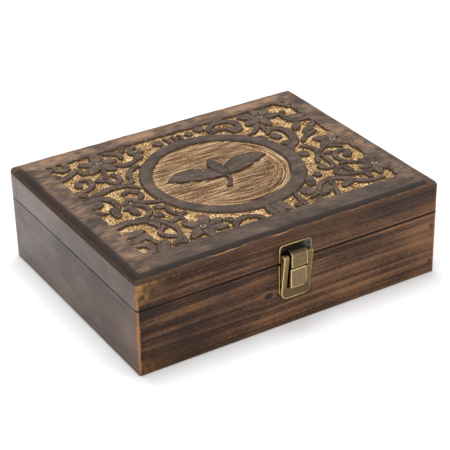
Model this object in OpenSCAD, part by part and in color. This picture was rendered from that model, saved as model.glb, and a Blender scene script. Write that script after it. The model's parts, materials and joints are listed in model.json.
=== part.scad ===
// Wooden tea box: a hinged box with a carved lid, six compartments and a brass toggle latch.
// Millimetres. The front is at -Y, the hinges are at +Y, and the base stands on Z = 0
// with the middle of its footprint at the origin.

/* [Box] */
// Width along the front
box_w = 229; // [215:1:260]
// Depth from front to back
box_d = 178; // [168:1:210]
// Height of the closed box
box_h = 70; // [67:1:80]
// Height of the base, from the table to the split
base_h = 47; // [42:1:50]
// Gap between the base and the lid at the split
split_gap = 0.5; // [0.4:0.1:0.8]
// Thickness of the wall boards
wall_t = 9; // [8:0.5:11]
// Radius of the upright corners
corner_r = 2.5; // [1:0.5:4]
// Radius of the edge round the underside of the base
foot_r = 1.5; // [0.5:0.5:2.5]

/* [Bottom and dividers] */
// Thickness of the bottom panel
bottom_t = 4; // [3:0.5:6]
// Width of the rebate that holds the bottom panel
bottom_rebate = 4; // [2:0.5:5]
// Thickness of the dividers
divider_t = 4; // [3:0.5:6]
// Height of the dividers above the bottom panel
divider_h = 36; // [24:1:38]
// Compartments along the front
columns = 3; // [3]
// Clearance round a divider, at its ends and in its half laps
divider_gap = 0.2; // [0.1:0.05:0.4]

/* [Lid top] */
// Thickness of the lip that covers the lid boards
lip_t = 4.5; // [4.5:0.5:7]
// Depth to which the top drops inside the lid boards
inset_t = 5; // [3:0.5:6]
// Clearance round what is let in: this inset and the bottom panel
inset_gap = 0.2; // [0.1:0.05:0.4]
// Radius of the edge round the top
top_r = 4; // [2:0.5:4]

/* [Carving] */
// Plain border left of the carved field
border_left = 19.5; // [17:0.5:21]
// Plain border right of the carved field
border_right = 14; // [12:0.5:16]
// Plain border in front of the carved field
border_front = 22; // [18:0.5:24]
// Plain border behind the carved field
border_back = 14.5; // [12:0.5:16]
// Depth of the carved ground
carve_depth = 2; // [1:0.25:3]
// Outer radius of the ring round the medallion
ring_r = 57; // [54:0.5:60]
// Width of that ring
ring_w = 8.5; // [6:0.5:11]
// Reach of one flower from its middle
flower_r = 13; // [10:0.5:14]

/* [Latch] */
// Width of the keeper plate on the lid
keeper_w = 27; // [26:0.5:34]
// Height of the keeper plate above the split
keeper_top = 13.2; // [12.5:0.2:16]
// Width of the keeper block
block_w = 12.5; // [10:0.5:12.5]
// How far the keeper block stands out from the wood
block_out = 5; // [4:0.25:5.5]
// Height of the keeper block above the split
block_top = 9.5; // [8:0.25:10]
// How far the nose of the block reaches below the split
nose_drop = 2.3; // [1.5:0.1:2.5]
// Thickness of the keeper plate and the base plate
plate_t = 0.9; // [0.6:0.1:1]
// How far the base plate reaches below the split
plate_drop = 24.5; // [24:0.5:30]
// Width across the lever
lever_w = 24; // [23:0.5:28]
// Width of each arm of the lever
arm_w = 4; // [2.5:0.25:4]
// How far the lever reaches below the split
lever_drop = 26.8; // [25:0.2:32]
// Radius of the lower corners of the lever
lever_corner = 5; // [3:0.5:6]
// Height of the lever's pivot above the split
pivot_z = 5.5; // [5:0.1:6]
// Distance of the lever's pivot from the wood
pivot_out = 3.6; // [3.4:0.1:4.2]
// Radius of the lever's eyes
eye_r = 2.25; // [1.8:0.05:2.3]
// Radius of the rivets and of the strap pin
rivet_r = 0.6; // [0.5:0.05:0.7]
// Length of the strap
strap_h = 14.3; // [13:0.1:14.5]
// Thickness of the lever's plate
lever_t = 1.6; // [1.2:0.1:2]
// Thickness of the two ears
ear_t = 1.1; // [0.8:0.05:1.2]
// Clearance between latch parts that pass each other
latch_gap = 0.35; // [0.25:0.05:0.4]

/* [Hinges] */
// Distance from the side of the box to the middle of a hinge
hinge_inset = 50; // [35:1:70]
// Length of a hinge
hinge_w = 25; // [20:1:40]
// Thickness of a leaf
leaf_t = 1; // [0.8:0.1:1.2]
// Width of wood left between the leaf and the inside of the board
leaf_land = 1.5; // [1:0.25:2.5]
// Outer radius of the knuckles
knuckle_r = 1.9; // [1.8:0.1:2.4]
// Radius of the hinge pin
hinge_pin_r = 0.9; // [0.7:0.1:1]
// Number of knuckles on a hinge
knuckles = 5; // [3:2:7]
// Clearance between a knuckle and what turns past it
knuckle_gap = 0.2; // [0.1:0.05:0.4]

/* [Nails and screws] */
// Radius of the shank of the corner nails
nail_r = 0.9; // [0.6:0.1:1.2]
// Radius of the head of the corner nails
nail_head_r = 1.7; // [1.4:0.1:2.2]
// Length of the corner nails
nail_len = 24; // [18:1:32]
// Height of the lower nails above the table
nail_low = 10; // [9:0.5:14]
// Distance of the upper nails of the base from the split
nail_high = 10; // [7:0.5:14]
// Radius of the shank of the small brass tacks and screws
tack_r = 0.6; // [0.4:0.1:0.8]
// Radius of the head of the tacks and screws
tack_head_r = 1.2; // [1:0.1:1.6]
// Length of the tacks and screws under the plate
tack_len = 6; // [4:0.5:7]
// Radial clearance of a pin, nail or screw in its hole
pin_gap = 0.05; // [0.02:0.01:0.1]

/* [Hidden] */
$fn = 48;

over = 1;                                   // how far a cut runs past the face it opens
lid_z = base_h + split_gap;                 // underside of the lid
lid_frame_h = box_h - lip_t - lid_z;        // height of the lid boards
in_w = box_w - 2 * wall_t;                  // inside of the boards
in_d = box_d - 2 * wall_t;
cell_w = (in_w - (columns - 1) * divider_t) / columns;
cell_pitch = cell_w + divider_t;

field_w = box_w - border_left - border_right;
field_d = box_d - border_front - border_back;
field_x = (border_left - border_right) / 2; // middle of the carved field
field_y = (border_front - border_back) / 2;
ring_x = field_x + 1.5;                     // the medallion sits a little off the middle
ring_y = field_y;
ground_z = box_h - carve_depth;

lever_back = plate_t + latch_gap;           // the lever and strap lie this far from the wood
ear_in = block_w / 2 + latch_gap;           // inner face of an ear, from the middle
arm_in = lever_w / 2 - arm_w;               // inner face of an arm, from the middle
plate_top = 1;                              // the base plate stops this far below the split
strap_top = nose_drop + 0.8;                // top of the strap below the split
strap_w = block_w - 0.3;
strap_cut = 2;                              // corner cut off the strap's foot
strap_pin_r = rivet_r - 0.1;
strap_eye = 0.45;                           // wall of the strap's eye round its pin
strap_foot = 1;                             // the strap reaches this far below its pin
strap_pin_z = strap_top + strap_h - strap_foot;
strap_pin_out = lever_back + lever_t / 2 + 0.1;
bridge_top = strap_top + strap_h + 1;       // top of the plate that joins the arms
hinge_z = base_h + split_gap / 2;
knuckle_w = hinge_w / knuckles;
leaf_gap = 0.1;                             // round a leaf in its recess
hinge_y = box_d / 2 + knuckle_r + knuckle_gap;
leaf_d = wall_t - leaf_land;
plate_rim = 0.9;                            // the base plate shows this much beside the lever
keeper_foot = 1;                            // the keeper plate starts this far above the split
keeper_r = 3;                               // its upper corners
tack_inset = 3;                             // tacks to the edge of a plate
tack_head_t = 0.5;
nail_head_t = 1.2;
ear_drop = 9;                               // the ears reach this far below the split
ear_foot = 0.6;                             // an ear leaves the plate this far below its top
ear_r = eye_r - 0.1;                        // round end of an ear, a little inside the eye
plate_r = lever_corner - 1;                 // lower corners of the base plate
nose_t = 0.6;                               // the nose is this high at its tip,
nose_cut = 0.4;                             // and is cut back this far below it
ramp_drop = 2.2;                            // the block falls away this far to its front,
ramp_in = 1.2;                              // and starts to this far off the plate
claw_out = plate_t - 0.3;                   // the claw reaches this near the wood
claw_t = 0.9;
claw_room = 5;                              // height of the window behind the claw
rivet_head = 0.5;                           // height and rim of a rivet's head
petal_r = 4.6;
eyelet_r = 1.3;
eyelet_w = 0.9;
eyelet_depth = 0.6;

wood = "#5b4636";
wood_inside = "#c2a078";
brass = "#7a6636";
brass_light = "#a08a4c";
iron = "#3a3631";

// ---------- outlines ----------

// A rectangle with round corners, about the origin
module plan(w, d, r)
{
    square([w - 2 * r, d], center = true);
    square([w, d - 2 * r], center = true);
    for (sx = [-1, 1], sy = [-1, 1])
        translate([sx * (w / 2 - r), sy * (d / 2 - r)]) circle(r);
}

// A rectangle that stands on the X axis, with its two upper corners round
module arched(w, h, r)
{
    translate([-w / 2, 0]) square([w, h - r]);
    translate([r - w / 2, 0]) square([w - 2 * r, h]);
    for (s = [-1, 1]) translate([s * (w / 2 - r), h - r]) circle(r);
}

// A block that stands on Z = 0, with round upright corners and a round edge on top
module soft_block(w, d, h, upright_r, edge_r)
{
    intersection()
    {
        linear_extrude(h) plan(w, d, upright_r);
        rotate([90, 0, 0]) linear_extrude(d + 2, center = true) arched(w, h, edge_r);
        rotate([90, 0, 90]) linear_extrude(w + 2, center = true) arched(d, h, edge_r);
    }
}

// ---------- boards ----------

// The whole outside of the base, from which its boards are cut
module base_block()
{
    translate([0, 0, base_h]) mirror([0, 0, 1])
        soft_block(box_w, box_d, base_h, corner_r, foot_r);
}

// The whole outside of the lid below its lip
module lid_block()
{
    translate([0, 0, lid_z]) linear_extrude(lid_frame_h) plan(box_w, box_d, corner_r);
}

// Space of the board at the front (s = -1) or back (s = 1), over the full width
module across(s, z, h)
{
    translate([-box_w / 2 - over, s < 0 ? -box_d / 2 - over : box_d / 2 - wall_t, z])
        cube([box_w + 2 * over, wall_t + over, h]);
}

// Space of the board at the left (s = -1) or right (s = 1), between front and back
module beside(s, z, h)
{
    translate([s < 0 ? -box_w / 2 - over : box_w / 2 - wall_t, -in_d / 2, z])
        cube([wall_t + over, in_d, h]);
}

// The corner nails of the base (heights from the table) or the lid, each along Y
module corner_nails(heights, grow)
{
    for (sx = [-1, 1], sy = [-1, 1], z = heights)
        translate([sx * (box_w / 2 - wall_t / 2), sy * box_d / 2, z])
            rotate([sy * 90, 0, 0])
            {
                translate([0, 0, grow > 0 ? -over : 0])
                    cylinder(r = nail_head_r + grow, h = nail_head_t + (grow > 0 ? over : 0));
                cylinder(r = nail_r + grow, h = nail_len + grow);
            }
}

module base_nails(grow = 0) { corner_nails([nail_low, base_h - nail_high], grow); }
module lid_nails(grow = 0) { corner_nails([lid_z + lid_frame_h / 2], grow); }

module base_board()
{
    difference()
    {
        intersection()
        {
            base_block();
            children();
        }
        translate([0, 0, -over]) linear_extrude(bottom_t + over)
            square([in_w + 2 * bottom_rebate, in_d + 2 * bottom_rebate], center = true);
        base_nails(pin_gap);
        base_tacks(pin_gap);
        hinge_mortises(base_h - leaf_t, leaf_t + over);
        hinge_screws(-1, pin_gap);
    }
}

module lid_board()
{
    difference()
    {
        intersection()
        {
            lid_block();
            children();
        }
        lid_nails(pin_gap);
        keeper_tacks(pin_gap);
        hinge_mortises(lid_z - over, leaf_t + over);
        hinge_screws(1, pin_gap);
    }
}

module base_front_board() { color(wood) base_board() across(-1, -over, base_h + 2 * over); }
module base_back_board() { color(wood) base_board() across(1, -over, base_h + 2 * over); }
module base_left_board() { color(wood) base_board() beside(-1, -over, base_h + 2 * over); }
module base_right_board() { color(wood) base_board() beside(1, -over, base_h + 2 * over); }

module lid_front_board() { color(wood) lid_board() across(-1, lid_z - over, lid_frame_h + 2 * over); }
module lid_back_board() { color(wood) lid_board() across(1, lid_z - over, lid_frame_h + 2 * over); }
module lid_left_board() { color(wood) lid_board() beside(-1, lid_z - over, lid_frame_h + 2 * over); }
module lid_right_board() { color(wood) lid_board() beside(1, lid_z - over, lid_frame_h + 2 * over); }

module base_bottom_panel()
{
    color(wood_inside) linear_extrude(bottom_t)
        square([in_w + 2 * bottom_rebate - 2 * inset_gap,
                in_d + 2 * bottom_rebate - 2 * inset_gap], center = true);
}

module base_corner_nails() { color(iron) base_nails(); }
module lid_corner_nails() { color(iron) lid_nails(); }

// ---------- dividers ----------

// The long divider is slotted from above, and the cross dividers from below, to half height
module divider_long()
{
    color(wood_inside) translate([0, 0, bottom_t]) difference()
    {
        translate([divider_gap - in_w / 2, -divider_t / 2, 0])
            cube([in_w - 2 * divider_gap, divider_t, divider_h]);
        for (i = [1 : columns - 1])
            translate([i * cell_pitch - divider_t / 2 - in_w / 2, 0, divider_h])
                cube([divider_t + 2 * divider_gap, divider_t + over, divider_h + divider_gap], center = true);
    }
}

module divider_cross(i)
{
    color(wood_inside) translate([i * cell_pitch - divider_t / 2 - in_w / 2, 0, bottom_t]) difference()
    {
        translate([-divider_t / 2, divider_gap - in_d / 2, 0])
            cube([divider_t, in_d - 2 * divider_gap, divider_h]);
        cube([divider_t + over, divider_t + 2 * divider_gap, divider_h + divider_gap], center = true);
    }
}

module divider_cross_left() { divider_cross(1); }
module divider_cross_right() { divider_cross(columns - 1); }

// ---------- lid top and its carving ----------

// A stroke of the carving: an arc with a round bulb at each end, like a gouged C-scroll.
// It runs from angle a over the sweep, about [x, y].
module scroll(x, y, r, a, sweep, w = 3, bulb = 2.2)
{
    reach = 1.5 * (r + w);
    translate([x, y])
    {
        intersection()
        {
            difference()
            {
                circle(r + w / 2);
                circle(r - w / 2);
            }
            polygon([[0, 0], for (k = [0 : 4]) reach * [cos(a + k * sweep / 4), sin(a + k * sweep / 4)]]);
        }
        for (end = [a, a + sweep]) translate([r * cos(end), r * sin(end)]) circle(bulb);
    }
}

// A flower of round petals
module flower(x, y, petals, turn)
{
    translate([x, y]) for (i = [0 : petals - 1])
        rotate(turn + i * 360 / petals) translate([flower_r - petal_r, 0]) circle(petal_r);
    translate([x, y]) circle(flower_r - petal_r);
}

// A pointed leaf from its stalk at [x, y] to its tip, at an angle a
module leaf(x, y, length, width, a)
{
    bow = (length * length + width * width) / (4 * width);     // radius of each side
    translate([x, y]) rotate(a) translate([length / 2, 0]) intersection()
    {
        translate([0, bow - width / 2]) circle(bow);
        translate([0, width / 2 - bow]) circle(bow);
    }
}

// Two tea leaves and a bud in the middle of the medallion
module sprig()
{
    leaf(ring_x + 1, ring_y - 5, 42, 17, 163);
    leaf(ring_x - 1, ring_y - 5, 42, 17, 17);
    leaf(ring_x, ring_y - 7, 27, 10, 90);
    scroll(ring_x - 18, ring_y - 5, 18, -48, 48, 2.6, 1.6);
}

// The C-scrolls of the border, clockwise from the back left: [x, y, radius, start, sweep]
SCROLLS = [
    [-85, 66.5, 4.6, 150, 230], [-84, 39, 6, -70, 230], [-63.5, 36, 5.6, 150, 235],
    [-44.5, 33.5, 6, 80, 110], [-70, -5.5, 28, 57, 72], [-62, 7.3, 6, -40, 165],
    [-85.5, 5.5, 6.6, -30, 225], [-70, -14, 7.6, -80, 250], [-82, -42, 13.5, 25, 90],
    [-67.8, -46.3, 5.2, -60, 230], [-88.5, -58.4, 5.5, -120, 230], [-17.8, -65, 7.5, 15, 150],
    [41.5, 61.6, 10.4, 20, 150], [47.2, 58, 6, 175, 215], [51, 56, 15, -90, 66],
    [67, 23.7, 11.5, -110, 225], [93, 51.5, 6, 110, 170], [68, -25.5, 4.6, 150, 230],
    [86.5, -21.5, 6, 40, 250], [58.6, -54, 7.5, 0, 180], [37.2, -52, 4.6, 165, 210],
    [79, -42, 7, 20, 190], [-10.6, 64.5, 3.6, -30, 240], [-31, 62, 4.4, 60, 250]
];

// The flowers: [x, y, petals, turn]
FLOWERS = [[-61.4, 60.5, 6, 20], [71.5, 61, 6, 0], [-44.9, -54, 5, 55], [88, 4, 5, 30]];

// The ground of the carving: the field without the ornament that stands in it
module carved_ground()
{
    difference()
    {
        translate([field_x, field_y]) square([field_w, field_d], center = true);
        translate([ring_x, ring_y]) difference()
        {
            circle(ring_r);
            circle(ring_r - ring_w);
        }
        for (c = SCROLLS) scroll(c[0], c[1], c[2], c[3], c[4]);
        for (f = FLOWERS) flower(f[0], f[1], f[2], f[3]);
        sprig();
    }
}

module lid_top()
{
    color(wood) difference()
    {
        union()
        {
            translate([0, 0, box_h - lip_t]) soft_block(box_w, box_d, lip_t, corner_r, top_r);
            translate([0, 0, box_h - lip_t - inset_t]) linear_extrude(inset_t + over)
                square([in_w - 2 * inset_gap, in_d - 2 * inset_gap], center = true);
        }
        translate([0, 0, ground_z]) linear_extrude(carve_depth + over) carved_ground();
        for (f = FLOWERS) translate([f[0], f[1], box_h - eyelet_depth]) difference()
        {
            cylinder(r = eyelet_r + eyelet_w, h = eyelet_depth + over);
            cylinder(r = eyelet_r, h = eyelet_depth + over);
        }
    }
}

// ---------- latch ----------
// Its outlines are drawn either from the front, in [x, height above the split], or from the
// side, in [distance out of the wood, height above the split].

module seen_from_front(out_0, out_1)
{
    translate([0, -box_d / 2 - out_0, base_h]) rotate([90, 0, 0])
        linear_extrude(out_1 - out_0) children();
}

module seen_from_side(x_0, x_1)
{
    translate([x_0, -box_d / 2, base_h]) rotate([90, 0, 90])
        linear_extrude(x_1 - x_0) mirror([1, 0]) children();
}

// A round bar or bore along X at a place seen from the side
module cross_bar(x_0, x_1, out, z, r)
{
    translate([x_0, -box_d / 2 - out, base_h + z]) rotate([0, 90, 0]) cylinder(r = r, h = x_1 - x_0);
}

// Shanks of the brass tacks driven into the front, at [x, height above the split], and on
// each the children, which stand at the front of the plate and point out of the wood
module tacks(places, grow)
{
    for (t = places)
        translate([t[0], -box_d / 2 - plate_t, base_h + t[1]]) rotate([90, 0, 0])
        {
            translate([0, 0, -tack_len - plate_t - grow])
                cylinder(r = tack_r + grow, h = tack_len + plate_t + grow + (grow > 0 ? over : 0));
            children();
        }
}

// The tacks of the keeper plate have low round heads
module keeper_tacks(grow = 0)
{
    tacks([for (s = [-1, 1]) [s * (keeper_w / 2 - tack_inset), keeper_top - tack_inset]], grow)
        if (grow == 0) cylinder(r1 = tack_head_r, r2 = tack_r, h = tack_head_t);
}

// Those of the base plate are sunk flush, because the lever lies over them
module base_tacks(grow = 0)
{
    tacks([for (s = [-1, 1]) [s * lever_w / 4, tack_inset - plate_drop]], grow)
        translate([0, 0, -tack_head_t])
            cylinder(r1 = tack_r + grow, r2 = tack_head_r + grow, h = tack_head_t);
}

// A plate with round lower corners, between two heights
module apron(w, z_0, z_1, r)
{
    intersection()
    {
        translate([-w / 2, z_0]) square([w, z_1 - z_0]);
        union()
        {
            translate([-w / 2, z_0 + r]) square([w, z_1 - z_0]);
            translate([r - w / 2, z_0]) square([w - 2 * r, z_1 - z_0]);
            for (s = [-1, 1]) translate([s * (w / 2 - r), z_0 + r]) circle(r);
        }
    }
}

module latch_base_plate()
{
    color(brass) difference()
    {
        union()
        {
            seen_from_front(0, plate_t) difference()
            {
                apron(lever_w + 2 * plate_rim, -plate_drop, -plate_top, plate_r);
                translate([-ear_in, -strap_top - claw_room])
                    square([2 * ear_in, claw_room + latch_gap]);
            }
            for (s = [-1, 1])
                seen_from_side(s < 0 ? -ear_in - ear_t : ear_in, s < 0 ? -ear_in : ear_in + ear_t)
                {
                    translate([pivot_out, pivot_z]) circle(ear_r);
                    translate([pivot_out - ear_r, -ear_drop])
                        square([2 * ear_r, ear_drop + pivot_z]);
                    translate([0, -ear_drop]) square([pivot_out, ear_drop - plate_top - ear_foot]);
                }
        }
        cross_bar(-lever_w, lever_w, pivot_out, pivot_z, rivet_r + pin_gap);
        base_tacks(pin_gap);
    }
}

module latch_base_tacks() { color(brass_light) base_tacks(); }

// Two short rivets on which the lever's eyes turn, one in each ear
module latch_lever_rivets()
{
    color(brass_light) for (s = [-1, 1])
    {
        x_in = s * ear_in;
        x_arm = s * (lever_w / 2 + pin_gap);
        x_out = s * (lever_w / 2 + rivet_head);
        cross_bar(min(x_in, x_out), max(x_in, x_out), pivot_out, pivot_z, rivet_r);
        cross_bar(min(x_arm, x_out), max(x_arm, x_out), pivot_out, pivot_z, rivet_r + rivet_head);
    }
}

module latch_lever()
{
    color(brass) difference()
    {
        union()
        {
            for (s = [-1, 1])
                seen_from_side(s < 0 ? -lever_w / 2 : arm_in, s < 0 ? -arm_in : lever_w / 2)
                {
                    translate([pivot_out, pivot_z]) circle(eye_r);
                    polygon([[lever_back, pivot_z], [lever_back, -bridge_top - over],
                             [lever_back + lever_t, -bridge_top - over], [pivot_out + eye_r, pivot_z]]);
                }
            seen_from_front(lever_back, lever_back + lever_t)
                apron(lever_w, -lever_drop, -bridge_top, lever_corner);
        }
        cross_bar(-lever_w, lever_w, pivot_out, pivot_z, rivet_r + pin_gap);
        cross_bar(-lever_w, lever_w, strap_pin_out, -strap_pin_z, strap_pin_r + pin_gap);
    }
}

// The strap between the lever's arms: a box as deep as the keeper's block, with a claw along
// its top that reaches under the nose
module latch_strap()
{
    color(brass) difference()
    {
        union()
        {
            seen_from_front(lever_back, block_out)
                polygon([[-strap_w / 2, -strap_top], [strap_w / 2, -strap_top],
                         [strap_w / 2, strap_cut - strap_top - strap_h],
                         [strap_w / 2 - strap_cut, -strap_top - strap_h],
                         [-strap_w / 2, -strap_top - strap_h]]);
            seen_from_front(claw_out, lever_back + over)
                translate([-strap_w / 2, -strap_top - claw_t]) square([strap_w, claw_t]);
            cross_bar(-strap_w / 2, strap_w / 2, strap_pin_out, -strap_pin_z, strap_pin_r + strap_eye);
        }
        cross_bar(-lever_w, lever_w, strap_pin_out, -strap_pin_z, strap_pin_r + pin_gap);
    }
}

module latch_strap_pin()
{
    color(brass_light) cross_bar(-lever_w / 2, lever_w / 2, strap_pin_out, -strap_pin_z, strap_pin_r);
}

// The keeper: a plate on the lid with a ramped block, whose nose hangs over the split
module latch_keeper()
{
    color(brass) difference()
    {
        union()
        {
            seen_from_front(0, plate_t) translate([0, keeper_foot + keeper_top]) mirror([0, 1])
                apron(keeper_w, keeper_foot, keeper_top, keeper_r);
            seen_from_side(-block_w / 2, block_w / 2)
                polygon([[lever_back, -nose_drop], [block_out - nose_cut, -nose_drop],
                         [block_out, nose_t - nose_drop], [block_out, block_top - ramp_drop],
                         [plate_t + ramp_in, block_top], [0, block_top], [0, keeper_foot],
                         [lever_back, keeper_foot]]);
        }
        keeper_tacks(pin_gap);
    }
}

module latch_keeper_tacks() { color(brass_light) keeper_tacks(); }

// ---------- hinges ----------

// Place children at the left (-1) or right (1) hinge, with X = 0 at its middle
module at_hinge(s) { translate([s * (box_w / 2 - hinge_inset), 0, 0]) children(); }

// Start of knuckle i along X, and its length
function knuckle_x(i) = -hinge_w / 2 + i * hinge_w / knuckles;

// The recesses for the leaves, from a height z over a height h
module hinge_mortises(z, h)
{
    for (s = [-1, 1]) at_hinge(s)
        translate([-hinge_w / 2 - leaf_gap, box_d / 2 - leaf_d - leaf_gap, z])
            cube([hinge_w + 2 * leaf_gap, leaf_d + over, h]);
}

// A leaf with its knuckles: first is 0 for the base's leaf and 1 for the lid's
module hinge_leaf(z, first)
{
    difference()
    {
        union()
        {
            translate([-hinge_w / 2, box_d / 2 - leaf_d, z]) cube([hinge_w, leaf_d, leaf_t]);
            for (i = [first : 2 : knuckles - 1])
            {
                translate([knuckle_x(i) + pin_gap, box_d / 2 - over, z])
                    cube([knuckle_w - 2 * pin_gap, hinge_y - box_d / 2 + over, leaf_t]);
                translate([knuckle_x(i) + pin_gap, hinge_y, hinge_z]) rotate([0, 90, 0])
                    cylinder(r = knuckle_r, h = knuckle_w - 2 * pin_gap);
            }
        }
        translate([-hinge_w, hinge_y, hinge_z]) rotate([0, 90, 0])
            cylinder(r = hinge_pin_r + pin_gap, h = 2 * hinge_w);
        leaf_screws(first == 0 ? -1 : 1, pin_gap);
    }
}

// The two screws of a leaf, driven down into the base (-1) or up into the lid (1)
module leaf_screws(way, grow)
{
    for (sx = [-1, 1])
        translate([sx * hinge_w / 4, box_d / 2 - wall_t / 2, way < 0 ? base_h : lid_z])
            rotate([way < 0 ? 180 : 0, 0, 0])
            {
                cylinder(r = tack_r + grow, h = leaf_t + tack_len + grow);
                cylinder(r1 = tack_head_r + grow, r2 = tack_r + grow, h = 0.6 * leaf_t);
            }
}

module hinge_screws(way, grow = 0) { for (s = [-1, 1]) at_hinge(s) leaf_screws(way, grow); }

module hinge_pin()
{
    translate([-hinge_w / 2, hinge_y, hinge_z]) rotate([0, 90, 0]) cylinder(r = hinge_pin_r, h = hinge_w);
}

module hinge_left_base_leaf() { color(brass) at_hinge(-1) hinge_leaf(base_h - leaf_t, 0); }
module hinge_right_base_leaf() { color(brass) at_hinge(1) hinge_leaf(base_h - leaf_t, 0); }
module hinge_left_lid_leaf() { color(brass) at_hinge(-1) hinge_leaf(lid_z, 1); }
module hinge_right_lid_leaf() { color(brass) at_hinge(1) hinge_leaf(lid_z, 1); }
module hinge_left_pin() { color(brass_light) at_hinge(-1) hinge_pin(); }
module hinge_right_pin() { color(brass_light) at_hinge(1) hinge_pin(); }
module hinge_base_screws() { color(brass_light) hinge_screws(-1); }
module hinge_lid_screws() { color(brass_light) hinge_screws(1); }

base_front_board();
base_back_board();
base_left_board();
base_right_board();
base_bottom_panel();
divider_long();
divider_cross_left();
divider_cross_right();
base_corner_nails();
lid_front_board();
lid_back_board();
lid_left_board();
lid_right_board();
lid_top();
lid_corner_nails();
latch_base_plate();
latch_base_tacks();
latch_lever_rivets();
latch_lever();
latch_strap();
latch_strap_pin();
latch_keeper();
latch_keeper_tacks();
hinge_left_base_leaf();
hinge_right_base_leaf();
hinge_left_lid_leaf();
hinge_right_lid_leaf();
hinge_left_pin();
hinge_right_pin();
hinge_base_screws();
hinge_lid_screws();
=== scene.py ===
# %% [markdown] # A wooden tea box with a carved lid This lesson dresses a finished solid
# model of a hinged tea box: plain boards, a lid that is carved and burnt by hand, and a
# small brass toggle latch. The shapes that a solid model can't hold well, such as soft
# carving, are made here as numpy surfaces.

# %% Load the frame
import json

import bmesh
import bpy
import numpy as np
from mathutils import Matrix, Vector

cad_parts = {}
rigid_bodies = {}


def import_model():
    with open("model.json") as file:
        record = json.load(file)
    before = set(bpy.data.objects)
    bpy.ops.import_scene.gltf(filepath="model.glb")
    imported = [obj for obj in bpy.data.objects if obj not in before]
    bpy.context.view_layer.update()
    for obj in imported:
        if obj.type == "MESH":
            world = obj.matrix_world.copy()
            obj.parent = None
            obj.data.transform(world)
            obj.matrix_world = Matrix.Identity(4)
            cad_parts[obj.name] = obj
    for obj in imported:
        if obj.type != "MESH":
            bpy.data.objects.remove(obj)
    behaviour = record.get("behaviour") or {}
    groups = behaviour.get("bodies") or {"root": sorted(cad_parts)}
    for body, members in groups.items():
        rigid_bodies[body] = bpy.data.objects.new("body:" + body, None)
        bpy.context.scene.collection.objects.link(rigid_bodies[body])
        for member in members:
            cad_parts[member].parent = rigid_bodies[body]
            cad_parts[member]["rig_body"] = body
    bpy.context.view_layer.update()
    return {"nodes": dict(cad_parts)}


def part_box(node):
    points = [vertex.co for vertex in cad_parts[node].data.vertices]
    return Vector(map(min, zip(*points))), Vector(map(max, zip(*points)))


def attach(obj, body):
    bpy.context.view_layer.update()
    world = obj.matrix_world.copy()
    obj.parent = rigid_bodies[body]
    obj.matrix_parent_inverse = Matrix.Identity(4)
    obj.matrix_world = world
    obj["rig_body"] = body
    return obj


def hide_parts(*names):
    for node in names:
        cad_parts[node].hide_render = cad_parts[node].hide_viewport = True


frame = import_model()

nodes = frame["nodes"]
print("solids in the frame:", len(nodes))

# %% [markdown]
# ## Sizes
# Lengths are written in millimetres, because that is how a box maker thinks, and become metres
# only where a mesh is made. The few sizes below are the ones that the carving and the finishes
# need; everything else is measured from the solids themselves.

# %% Sizes of the box
MM = 0.001
low, high = (np.array(corner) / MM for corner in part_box("lid_top"))
HALF_W, HALF_D, TOP_Z = high[0], high[1], high[2]
SEAM_Z = 47.0
# The lid's board: foot of its rim, its underside, and the half sizes of the part that sinks in
LIP_Z = 65.5
INSET_Z = low[2]
INSET_W, INSET_D = 105.3, 79.8
# Rounding of the top edge and of the upright corners
EDGE_R = 4.0
CORNER_R = 2.5
# The carved field's left, right, front and back, and the depth of its ground
FIELD = (-95.0, 100.5, -67.0, 74.5)
CARVE_DEPTH = 2.0
# The ring's middle, outer radius and least width, and where the drawing of the carving lies
RING_X, RING_Y, RING_R, RING_W = 4.25, 3.75, 57.0, 8.5
DRAWN_X, DRAWN_Y, DRAWN_SCALE = -0.9, -1.0, 0.987
print("lid top, half width, half depth and height:", HALF_W, HALF_D, TOP_Z)

# %% [markdown]
# ## The camera
# The box is seen from its front left and from above. The lens is a long one, so the far
# edges are only a little shorter than the near ones. The camera's axes are built from three
# turns: around the upright axis, then tilted down, then a slight roll.

# %% The camera
def camera_axes(azimuth, elevation, roll):
    """Right, up and back of a camera that looks at the origin, as rows, after a roll about back."""
    a, e, r = np.radians([azimuth, elevation, roll])
    right = np.array([np.cos(a), np.sin(a), 0])
    up = np.array([-np.sin(a) * np.sin(e), np.cos(a) * np.sin(e), np.cos(e)])
    back = np.array([np.sin(a) * np.cos(e), -np.cos(a) * np.cos(e), np.sin(e)])
    return np.array([np.cos(r) * right + np.sin(r) * up, np.cos(r) * up - np.sin(r) * right, back])


AZIMUTH, ELEVATION, ROLL = -31.09, 29.46, -1.23
ASIDE, RAISED, AWAY = 1.524, 26.203, 1053.35
FOCAL_PIXELS, FRAME_PIXELS = 1520.67, 450
axes = camera_axes(AZIMUTH, ELEVATION, ROLL)
place = axes.T @ np.array([ASIDE, RAISED, AWAY]) * MM
lens = bpy.data.cameras.new("long_lens")
lens.sensor_width = 36
lens.lens = FOCAL_PIXELS / FRAME_PIXELS * lens.sensor_width
camera = bpy.data.objects.new("long_lens", lens)
camera.matrix_world = Matrix.Translation(Vector(place)) @ Matrix([list(row) for row in axes.T]).to_4x4()
bpy.context.scene.collection.objects.link(camera)
bpy.context.scene.camera = camera
print("camera at", np.round(place, 3))

# %% [markdown]
# ## Writing shader maths
# A finish is a small network of nodes. Wrapping a socket in a class whose operators add Math
# nodes lets the finish read like a formula, and one method adds any other kind of node. That
# keeps each finish short enough to be read as a recipe.

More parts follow.
